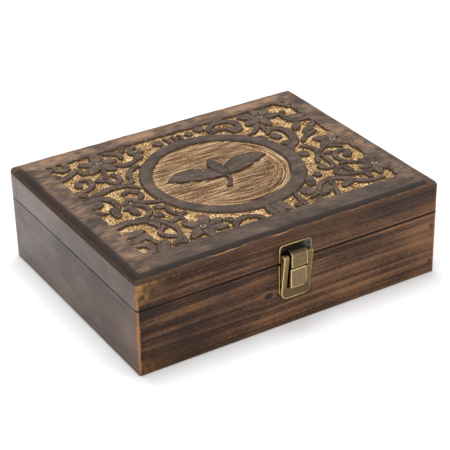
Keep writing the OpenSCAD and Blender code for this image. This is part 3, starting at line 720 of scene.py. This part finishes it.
# %% A mesh from points
def surface(name, points, faces, sharp=(), normals=None, **values):
    """An object from points in millimetres, with a number per point for each named value.

    Where a point's own normal is zero, the mesh works it out."""
    mesh = bpy.data.meshes.new(name)
    mesh.from_pydata((np.asarray(points) * MM).tolist(), [], faces)
    mesh.polygons.foreach_set("use_smooth", np.ones(len(mesh.polygons), bool))
    for key, numbers in values.items():
        layer = mesh.attributes.new(key, "FLOAT", "POINT")
        layer.data.foreach_set("value", np.asarray(numbers, np.float32))
    if len(sharp):
        ends = np.empty(len(mesh.edges) * 2, int)
        mesh.edges.foreach_get("vertices", ends)
        ring = np.asarray(sharp)[ends.reshape(-1, 2)]
        layer = mesh.attributes.new("sharp_edge", "BOOLEAN", "EDGE")
        layer.data.foreach_set("value", (ring[:, 0] == ring[:, 1]) & (ring[:, 0] > 0))
    if normals is not None:
        mesh.normals_split_custom_set_from_vertices(normals.tolist())
    piece = bpy.data.objects.new(name, mesh)
    bpy.context.scene.collection.objects.link(piece)
    print("piece:", name, "faces", len(faces))
    return piece


# %% The rows and columns
NET_STEP = 0.61
FIELD_MARGIN = 1.8


def net_line(half, field_low, field_high):
    """Places along one side: close over the rounded edge, wide on the border, even in the field.

    Over the edge, place = half - EDGE_R (1 - cos a), with a from 0 to a quarter turn."""
    edge = half - EDGE_R * (1 - np.cos(np.linspace(0, np.pi / 2, 6)))
    start, end = field_low - FIELD_MARGIN, field_high + FIELD_MARGIN
    inner = np.linspace(start, end, int((end - start) / NET_STEP) + 1)
    left = np.linspace(-edge[-1], start, 5)[1:-1]
    right = np.linspace(end, edge[-1], 5)[1:-1]
    return np.concatenate([-edge, left, inner, right, edge[::-1]])


xs = net_line(HALF_W, FIELD[0], FIELD[1])
ys = net_line(HALF_D, FIELD[2], FIELD[3])
X, Y = np.meshgrid(xs, ys, indexing="ij")
print("net:", X.shape, "points", X.size)

# %% Round the upright corners
over_x, over_y = np.abs(X) - (HALF_W - CORNER_R), np.abs(Y) - (HALF_D - CORNER_R)
corner = (over_x > 0) & (over_y > 0)
square_r, round_r = np.maximum(over_x, over_y), np.hypot(over_x, over_y)
pull = np.where(corner, square_r / np.where(corner, round_r, 1), 1)
X = np.where(corner, np.sign(X) * (HALF_W - CORNER_R + over_x * pull), X)
Y = np.where(corner, np.sign(Y) * (HALF_D - CORNER_R + over_y * pull), Y)
from_side = np.where(corner, CORNER_R - square_r, np.minimum(HALF_W - np.abs(X), HALF_D - np.abs(Y)))
print("corner points moved:", int(corner.sum()))

# %% The height of every point
RIM_BAND = 7
WALL = (-0.5, 0.12)


def soft(low, high, v):
    """t² (3 - 2 t), with t from 0 at low to 1 at high."""
    t = np.clip((v - low) / (high - low), 0, 1)
    return t * t * (3 - 2 * t)


depth, cut, vein, disc = carve(X, Y)
rough = 0.22 * chips(X, Y, 1.3, 5) + 0.12 * chips(X, Y, 4.1, 6)
chisel = 0.16 * np.sin(Y * 1.25 + 0.8 * np.sin(X * 0.13) + np.sin(X * 0.05))
ground = -CARVE_DEPTH + np.where(disc, chisel, rough)
crown = -0.04 * np.exp(-np.maximum(depth, 0) / 0.4) - 0.14 * vein - 0.6 * np.exp(-((cut / 0.4) ** 2))
crown += 0.09 * chips(X, Y, 3.1, 4) - 0.06
crown = np.where((beyond_field(X, Y) > 1.75) & (cut > 3), 0, crown)
roll = np.clip(EDGE_R - from_side, 0, EDGE_R)
waves = np.sin(X * 0.11 + 1) * np.sin(Y * 0.13) + 0.5 * np.sin(X * 0.43) - 0.8
dents = 0.14 * soft(RIM_BAND, 0, from_side) * waves
Z = TOP_Z + ground + (crown - ground) * soft(*WALL, depth)
Z = np.where(from_side < RIM_BAND, TOP_Z + dents, Z) - (EDGE_R - np.sqrt(EDGE_R**2 - roll**2))
print("highest and lowest point of the top:", Z.max().round(2), Z.min().round(2))


# %% Crisp edges on the carving
def slopes(height, place, axis):
    """Rise over run before and after each point, and the flatter of the two where they agree in sign."""
    step = np.diff(height, axis=axis) / np.diff(place, axis=axis)
    ends = [(1, 1) if a == axis else (0, 0) for a in (0, 1)]
    pairs = np.pad(step, ends, "edge")
    before, after = np.delete(pairs, -1, axis), np.delete(pairs, 0, axis)
    flat = np.where(before * after > 0, np.sign(before) * np.minimum(np.abs(before), np.abs(after)), 0)
    return (before + after) / 2, flat


wall = (depth > WALL[0]) & (depth < WALL[1])
slope_x, slope_y = (np.where(wall, *slopes(Z, place, axis)) for axis, place in ((0, X), (1, Y)))
normals = np.stack([-slope_x, -slope_y, np.ones_like(Z)], -1)
normals /= np.linalg.norm(normals, axis=-1, keepdims=True)
normals[from_side < RIM_BAND] = 0
print("points on a wall:", int(wall.sum()))


# %% The rim and the underside
def closed_board(top, rings, middle):
    """A net, then rings of the same number of points as its rim, then one point in the middle.

    Each ring is the rim with x and y times two factors, at a height of its own."""
    n, m = top.shape[:2]
    index = np.arange(n * m).reshape(n, m)
    quads = [index[:-1, :-1], index[1:, :-1], index[1:, 1:], index[:-1, 1:]]
    faces = np.stack(quads, -1).reshape(-1, 4).tolist()
    rim = np.concatenate([index[:-1, 0], index[-1, :-1], index[:0:-1, -1], index[0, :0:-1]])
    points, ring_of, above = [top.reshape(-1, 3)], [np.zeros(n * m, int)], rim
    for number, (factor_x, factor_y, z) in enumerate(rings, 1):
        ring = points[0][rim] * [factor_x, factor_y, 0] + [0, 0, z]
        below = sum(map(len, points)) + np.arange(len(rim))
        faces += np.stack([below, np.roll(below, -1), np.roll(above, -1), above], -1).tolist()
        points.append(ring)
        ring_of.append(np.full(len(rim), number))
        above = below
    centre = sum(map(len, points))
    faces += np.stack([np.full(len(rim), centre), np.roll(above, -1), above], -1).tolist()
    return np.vstack(points + [[middle]]), faces, np.concatenate(ring_of + [[0]])


in_x, in_y = INSET_W / HALF_W, INSET_D / HALF_D
rings = [(1, 1, LIP_Z), (in_x, in_y, LIP_Z), (in_x, in_y, INSET_Z), (0.996 * in_x, 0.996 * in_y, INSET_Z)]
points, faces, ring_of = closed_board(np.stack([X, Y, Z], -1), rings, (0, 0, INSET_Z))
tail = len(points) - X.size


def pad(values, rest):
    """The values on the net, and one more value for every point of the rings and the middle."""
    return np.concatenate([np.asarray(values, float).ravel(), np.full(tail, rest)])


lid = surface(
    "carved_lid", points, faces, np.where(ring_of < len(rings), ring_of, 0),
    np.vstack([normals.reshape(-1, 3), np.zeros((tail, 3))]),
    inside=pad(np.clip(depth, -FAR, FAR), FAR), cut=pad(np.clip(cut, 0, FAR), FAR), vein=pad(vein, 0),
    disc=pad(disc & (depth < 1.2), 0), side=pad(np.clip(from_side, 0, 30), 0))
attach(lid, "lid")
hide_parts("lid_top")

# %% [markdown]
# ## The finish of the carved lid
# Three colours make the carving read: nearly black on the walls, on the ground at their foot
# and along the cut lines, which is partly where the flame caught them and partly painted shade
# for the shadow of the deep cuts; grey brown on the tops that were sanded after burning; and
# raw gold where the gouge opened fresh wood in the ground. The depth that was stored with each
# point puts each colour exactly on its edge, finer than the net of points could.

# %% The stored depths and the noises
f = Finish("carved_pine", Specular_IOR_Level=0.18)
point = f.place()
x, y, z = f.parts(point)
inside, cut_line, groove, floor_mask, rim = (
    f.node("ShaderNodeAttribute", {"attribute_name": name}, out=2)
    for name in ("inside", "cut", "vein", "disc", "side"))
speck = f.noise(point, 1.6, 2.0, 0.7)
grit = f.noise(point, 0.72, 2.0, 0.7)
threads = f.grain(point, (0.11, 1.3, 1.0), 3.0, 0.65)
bands = f.grain(point, (0.01, 0.2, 0.2), 2.0, 0.5, 0.6, shift=(3.0, 1.0, 2.0))
blotch = f.grain(point, (0.03, 0.035, 0.03), 3.0, 0.55, shift=(7.0, 2.0, 0.0))
patch = f.grain(point, (0.1, 0.12, 0.1), 2.0, 0.5, shift=(1.0, 5.0, 0.0))
print("nodes so far:", len(f.tree.nodes))

# %% Chisel strokes, straight and round the ring
hub_x, hub_y = (x - RING_X) / RING_R, (y - RING_Y) / RING_R
radius = (hub_x ** 2.0 + hub_y ** 2.0 + 0.001) ** 0.5
round_way = f.node("ShaderNodeCombineXYZ", None, {
    0: hub_x / radius * 1.6, 1: hub_y / radius * 1.6, 2: radius * 66})
straight = f.grain(point, (0.04, 1.35, 0.5), 2.0, 0.7, 0.4)
curved = f.noise(round_way, 1.0, 2.0, 0.7, 0.2)
follow = radius.between(0.45, 0.75) * (hub_x - hub_y).between(-0.4, 0.5)
strokes = (straight * (1 - follow) + curved * follow) * 1.35 - 0.175
print("the strokes turn round the ring of radius", RING_R)

# %% The gold ground and the chiselled floor of the medallion
# A near black for scorch, and for painted shade at the foot of the walls
SCORCH_AND_SHADE = (0.02, 0.011, 0.006)
gold = f.ramp(grit * 0.6 + speck * 0.4 + patch * 0.25 - 0.135, (0.4, (0.03, 0.014, 0.007)),
              (0.46, (0.17, 0.082, 0.03)), (0.53, (0.5, 0.31, 0.12)), (0.62, (0.95, 0.74, 0.45)))
marks = strokes * 0.68 + speck * 0.2 + grit * 0.33 + blotch * 0.2 + inside.between(-7, -1) * 0.05 - 0.217
chiselled = f.ramp(marks, (0.36, SCORCH_AND_SHADE), (0.45, (0.105, 0.056, 0.028)), (0.56, (0.34, 0.205, 0.105)),
                   (0.7, (0.82, 0.58, 0.33)))
ground_colour = f.mix(floor_mask, gold, chiselled)
# Painted shade: the ground next to every wall turns nearly black, partly scorch and partly the shadow at the
# foot of the walls
scorch_and_shade = (inside + grit * 1.4 + patch * 1.2 - 1.0).between(-0.75, 0.05)
ground_colour = f.mix(scorch_and_shade * 0.95, ground_colour, SCORCH_AND_SHADE)
print("the ground turns to", SCORCH_AND_SHADE, "beside the walls")

# %% The tops and the plain border
wood = bands * 0.5 + threads * 0.6 + blotch * 0.55 + patch * 0.55 - 0.61
top_colour = f.ramp(wood, (0.25, (0.02, 0.012, 0.0095)), (0.5, (0.056, 0.0375, 0.0275)),
                    (0.72, (0.112, 0.073, 0.052)), (0.95, (0.235, 0.143, 0.088)))
scratch = (threads * 0.8 + groove.least(1.0) * 0.16 + speck * 0.4 + patch * 0.2).between(0.74, 0.92)
top_colour = f.mix(scratch * 0.5, top_colour, (0.2, 0.13, 0.085))
behind = (y / 90).between(0.72, 0.9)
sides = ((x / 90).between(-0.8, -1.1) * 0.4).most((x / 90).between(0.9, 1.2) * 0.3)
warm = (blotch * 0.6 + threads * 0.9 + patch * 0.3 + behind.most(sides) * 0.12).between(0.86, 1.16)
reach = (x.size() / 115).between(0.74, 0.9).most(behind)
top_colour = f.mix(warm * reach * (0.62 + behind * 0.1), top_colour, (0.36, 0.21, 0.12))
print("the border is warmest behind and at its sides")

# %% The cut lines and the rubbed edges of the tops
arris = inside.between(0.05, 0.2) * inside.between(0.75, 0.3) * (speck + threads * 0.4).between(0.6, 0.85)
top_colour = f.mix(arris * 0.6, top_colour, (0.27, 0.155, 0.08))
# Painted shade: beside each cut line the tops turn nearly black, partly scorch and partly the shadow in the
# deep cut
line = cut_line.between(0.8, 0.2) * inside.between(0.0, 0.4)
top_colour = f.mix(line * 0.8, top_colour, (0.016, 0.01, 0.007))
top_colour = f.mix(groove.between(1.0, 1.6), top_colour, (0.5, 0.32, 0.15))
colour = f.mix((inside + (grit - 0.5) * 0.9).between(-0.08, 0.1), ground_colour, top_colour)
print("nodes so far:", len(f.tree.nodes))

# %% [markdown]
# ## The charred rim
# The flame licked along the rounded edge of the lid and left a black band with a ragged border.
# Below it the front shows the brown of the boards, and where the rounding starts the char has
# flaked off in a thin golden line. The distance from the side, stored with each point, gives
# the band, and a slow noise makes its border wander.

# %% The charred rim
wavy = f.grain(point, (0.035, 0.02, 0.02), 3.0, 0.6, shift=(2.0, 0.0, 0.0))
char = (rim + speck * 2.2 + wavy * 3.6 - 2.9).between(7.8, 4.8)
char = char * (1 - (y - (HALF_D - 10)).most(x - (HALF_W - 10)).between(0, 4) * 0.7)
colour = f.mix(char * 0.92, colour, (0.014, 0.009, 0.007))
level = z + speck * 1.4 + wavy * 3.0 - 2.2
front_rim, turning = (y * -1 - (HALF_D - 3)).between(0, 2), rim.between(4.4, 3.8)
lower_wood = f.shade((0.062, 0.032, 0.019), threads * 2.4)
colour = f.mix(level.between(69.1, 68.2) * turning * (0.6 + front_rim * 0.4), colour, lower_wood)
flakes = (wavy * 0.5 + threads * 0.6 + speck * 0.5).between(0.66, 0.95)
golden = level.between(69.2, 68.9) * level.between(68.3, 68.8) * flakes
bared = x.between(-80, -50) * 0.7 - x.between(-15, 5) * 0.35 + 0.2
colour = f.mix(golden * front_rim * turning * bared, colour, (0.42, 0.23, 0.09))
print("the char starts about 6 mm in from the side")

# %% The underside, the relief and the sheen
below = f.ramp(bands * 0.7 + threads * 0.5 + blotch * 0.4 - 0.3, *zip((0.3, 0.5, 0.7), INNER))
colour = f.mix(z.between(LIP_Z - 0.1, LIP_Z - 0.4), colour, below)
relief = inside.between(-0.12, 0.12) * 0.35 - line * 0.4 - groove.least(1.0) * inside.between(0, 0.5) * 0.2
relief = relief + inside.between(0.0, -0.4) * (grit * 1.5 + speck * 0.6) * (1 - floor_mask * 0.7)
relief = relief + floor_mask * strokes * 1.8 + threads * 0.25
f.finish(height=relief, distance=0.0006, Base_Color=colour,
         Roughness=0.45 + inside.between(0.1, -0.3) * 0.35 + threads * 0.14 + char * 0.2)
lid.data.materials.append(f.material)

# %% [markdown]
# ## Boards and brass with soft edges
# No real edge is perfectly sharp: a worn, slightly rounded edge is what catches the light. A
# copy of each solid has its loose triangles merged and its flat faces joined, and a small
# bevel rounds its edges. Hardened normals keep the faces flat and leave the shine to the bevel.

# %% A softened copy of a solid
SHARP_ANGLE = np.radians(35)


def softened(node, width, finish, reshape=None, clamp=True, ends=None):
    """A copy of a solid with its edges rounded by a width in millimetres.

    A formula that takes and gives points in millimetres can reshape it first, and the faces that
    look along x can have a finish of their own."""
    mesh = nodes[node].data.copy()
    mesh.name = node + "_soft"
    if reshape:
        points = np.empty(len(mesh.vertices) * 3)
        mesh.vertices.foreach_get("co", points)
        mesh.vertices.foreach_set("co", (reshape(*(points.reshape(-1, 3).T / MM)).T * MM).ravel())
    build = bmesh.new()
    build.from_mesh(mesh)
    bmesh.ops.remove_doubles(build, verts=build.verts, dist=2e-6)
    bmesh.ops.dissolve_limit(build, angle_limit=0.02, verts=build.verts, edges=build.edges)
    build.to_mesh(mesh)
    build.free()
    mesh.polygons.foreach_set("use_smooth", np.ones(len(mesh.polygons), bool))
    if "custom_normal" in mesh.attributes:
        mesh.attributes.remove(mesh.attributes["custom_normal"])
    mesh.materials.clear()
    mesh.materials.append(finish)
    if ends:
        mesh.materials.append(ends)
        facing = np.empty(len(mesh.polygons) * 3)
        mesh.polygons.foreach_get("normal", facing)
        mesh.polygons.foreach_set("material_index", (np.abs(facing[::3]) > 0.9).astype(np.int32))
    mesh.set_sharp_from_angle(angle=SHARP_ANGLE)
    piece = bpy.data.objects.new(node + "_soft", mesh)
    bpy.context.scene.collection.objects.link(piece)
    bevel = piece.modifiers.new("soft_edges", "BEVEL")
    bevel.width, bevel.segments = width * MM, 2
    bevel.limit_method, bevel.angle_limit = "ANGLE", SHARP_ANGLE
    bevel.harden_normals = True
    bevel.use_clamp_overlap = clamp
    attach(piece, nodes[node]["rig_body"])
    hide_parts(node)
    print("softened:", node)


# %% The boards
for sides, finish, ends in (("front", "back"), wood_x, wood_y), (("left", "right"), wood_y, None):
    for half in ("base", "lid"):
        for side in sides:
            softened(f"{half}_{side}_board", 0.5, finish, ends=ends)
for node, finish in {"base_bottom_panel": inner_x, "divider_long": inner_x,
                     "divider_cross_left": inner_y, "divider_cross_right": inner_y}.items():
    softened(node, 0.4, finish)

# %% [markdown]
# ## Antique brass
# The latch is stamped sheet with an aged finish: olive brown on its faces, nearly black where
# dirt stays in the corners, and bright gold along every edge that fingers rub. The rub follows
# the bevels, which the surface's direction gives, broken up by a little noise. Painted shade
# makes the faces turned away from the front nearly black, and dims the gold on the right and
# on the upward bevels.

# %% A finish of aged brass
def rim_depth(x, z, half, low, high, corner):
    """Depth inside a rectangle with round corners: corner - |max(q, 0)| - min(max(qx, qz), 0)."""
    qx = x.size() - (half - corner)
    qz = (z - (low + high) / 2).size() - ((high - low) / 2 - corner)
    return corner - (qx.most(0.0) ** 2.0 + qz.most(0.0) ** 2.0) ** 0.5 - qx.most(qz).least(0.0)



def brass_finish(name, face, rubbed, grime, amount, dirty=0.0, outlines=(), foot=None, aside=0.0):
    """Aged sheet brass: its face, its rubbed edges and its grime, with painted shade on faces turned away
    from the front and on the right; an outline is rubbed along its rim.

    Each outline is half width, low and high end, corner radius, and how far out it starts and ends."""
    f = Finish(name, Metallic=1.0)
    point = f.place()
    cloud = f.noise(point, 0.45, 4.0, 0.6)
    fine = f.noise(point, 3.0, 3.0, 0.6)
    brushed = f.grain(point, (6.0, 1.0, 0.35), 2.0)
    x, y, z = f.parts(point)
    sunk = y + HALF_D
    colour = f.mix(z.between(34, 27), face, foot or face)
    colour = f.mix((cloud + fine * 0.4).between(0.6, 1.0) * 0.5, colour, grime)
    edge = edge_wear(f, 0.85, 0.99)
    turned = f.parts(f.node("ShaderNodeTexCoord", out=1))
    front = sunk.between(1, -1)
    # Painted shade: faces of the latch turned away from the front, its sides and tops, are painted nearly
    # black and lose most of their rubbed gold
    away = turned[1].size().between(0.75, 0.3) * front
    deep = sunk.between(-1.3, -1.05) * front
    colour = f.mix(deep.most(away).most(cloud * dirty), colour, (0.02, 0.016, 0.011))
    colour = f.mix(deep * x.between(3, 10) * z.between(SEAM_Z + 2, SEAM_Z + 9), colour, (0.13, 0.12, 0.115))
    rub = (edge * 1.35 + brushed * amount + cloud * 0.3 - 0.4).between(0.3, 0.8) * (1 - away * 0.8)
    for half, low, high, corner, start, end in outlines:
        here = sunk.between(0.2 - start, -0.2 - start) * sunk.between(-end - 0.6, -end)
        within = rim_depth(x + aside, z, half, low, high, corner) + (cloud - 0.5) * 0.5
        rub = rub * (1 - here * within.between(0.6, 0.95))
        rub = rub.most(within.between(0.95, 0.6) * here * (0.55 + brushed * 0.6))
    # Painted shade: the rubbed gold is dimmed on the right of the latch and on the upward bevels of the
    # parts that stand out
    faint = x.between(2, 10).most(turned[2].between(0.25, 0.7) * sunk.between(-1.2, -1.6)) * front
    colour = f.mix(rub * (1 - faint * 0.65), colour, rubbed)
    colour = f.mix(sunk.between(-1.1, -1.5) * front * dirty * 2, colour, (0.008, 0.007, 0.006))
    return f.finish(height=fine * 0.06 + brushed * 0.05, distance=0.0002, Base_Color=colour,
                    Roughness=0.44 - rub * 0.1 + cloud * 0.14 + faint * 0.2)


GOLD, GRIME = (0.62, 0.46, 0.2), (0.07, 0.05, 0.03)
brass = brass_finish("antique_brass", (0.185, 0.128, 0.07), GOLD, GRIME, 0.2)
brass_bright = brass_finish("rubbed_brass", (0.22, 0.16, 0.08), (0.5, 0.38, 0.18), (0.08, 0.06, 0.035), 0.3)
iron = brass_finish("dark_iron", (0.02, 0.017, 0.013), (0.04, 0.034, 0.025), (0.01, 0.008, 0.007), 0.2)

# %% The finishes of the latch and the nails
LOWER_ASIDE = 0.8
lever_brass = brass_finish(
    "lever_brass", (0.2, 0.145, 0.066), GOLD, GRIME, 0.2,
    outlines=[(11.0, 21.3, 70, 4.6, 0, 9)], foot=(0.12, 0.082, 0.043), aside=LOWER_ASIDE)
strap_brass = brass_finish(
    "strap_brass", (0.215, 0.148, 0.082), GOLD, GRIME, 0.1,
    outlines=[(6.0, 30.3, 44, 0.6, 4, 9)], foot=(0.19, 0.13, 0.07), aside=LOWER_ASIDE)
keeper_brass = brass_finish(
    "keeper_brass", (0.195, 0.133, 0.07), GOLD, GRIME, 0.1,
    outlines=[(6.15, 44.8, 57, 0.6, 4, 9), (12.4, 40, 60.7, 3, 0, 1.2)])
plate_brass = brass_finish(
    "plate_brass", (0.12, 0.09, 0.05), GOLD, (0.05, 0.036, 0.022), 0.2, 0.5,
    outlines=[(11.9, 23.5, 60, 3.7, 0, 1.2)], aside=LOWER_ASIDE)
nail = Finish("stained_nail", Base_Color=(0.085, 0.043, 0.025, 1), Roughness=0.7, Specular_IOR_Level=0.1)
nail = nail.finish()


# %% The shape of the latch
def fitted(x, out, z, aside=0.0):
    """The latch a little smaller: widths times 0.92, heights below the seam times 0.96, and a step aside."""
    return np.stack([0.92 * x - aside, -HALF_D - out, np.where(z < SEAM_Z, SEAM_Z + 0.96 * (z - SEAM_Z), z)])


def arms(x, y, z):
    """Broader arms that lie lower away from the pivot: out = 1.2 + k (out - 1.2), with k from 1 to 0.75."""
    out, far = -y - HALF_D, np.abs(x)
    far = np.where((far > 7.5) & (far < 8.5), far - 0.4, far)
    k = 1 - 0.25 * np.clip((50 - z) / 6, 0, 1)
    return fitted(np.sign(x) * far, np.where(out > 1.2, 1.2 + k * (out - 1.2), out), z, LOWER_ASIDE)


def block(x, y, z, aside=0.0):
    """A wider box that stands prouder: x times 1.07 and out = 1.3 + 1.2 (out - 1.3)."""
    out = -y - HALF_D
    wide = np.where(np.abs(x) < 6.6, 1.07 * x, x)
    return fitted(wide, np.where(out > 1.3, 1.3 + 1.2 * (out - 1.3), out), z, aside)


def lower_block(x, y, z):
    """The strap's box, mounted with the lower half of the latch."""
    return block(x, y, z, LOWER_ASIDE)


print("a lever's corner moves to", arms(9.0, -HALF_D - 5, 20.0).round(2))


# %% The latch
for node, finish, width, shape in (
        ("latch_base_plate", plate_brass, 0.35, arms), ("latch_lever", lever_brass, 0.5, arms),
        ("latch_strap", strap_brass, 0.5, lower_block), ("latch_keeper", keeper_brass, 0.4, block),
        ("latch_lever_rivets", brass_bright, 0.1, arms),
        ("latch_strap_pin", brass_bright, 0.1, arms), ("latch_base_tacks", iron, 0.1, arms),
        ("latch_keeper_tacks", iron, 0.1, block)):
    softened(node, width, finish, shape, width < 0.3)


# %% The hinges and the nails
for node in ("hinge_left_base_leaf", "hinge_right_base_leaf", "hinge_left_lid_leaf", "hinge_right_lid_leaf"):
    softened(node, 0.15, brass)
for node, finish in {
    "base_corner_nails": nail, "lid_corner_nails": nail,
    "hinge_left_pin": brass_bright, "hinge_right_pin": brass_bright,
    "hinge_base_screws": brass_bright, "hinge_lid_screws": brass_bright,
}.items():
    nodes[node].data.materials.clear()
    nodes[node].data.materials.append(finish)
    print("dressed as it is:", node)

# %% [markdown]
# ## Finishing
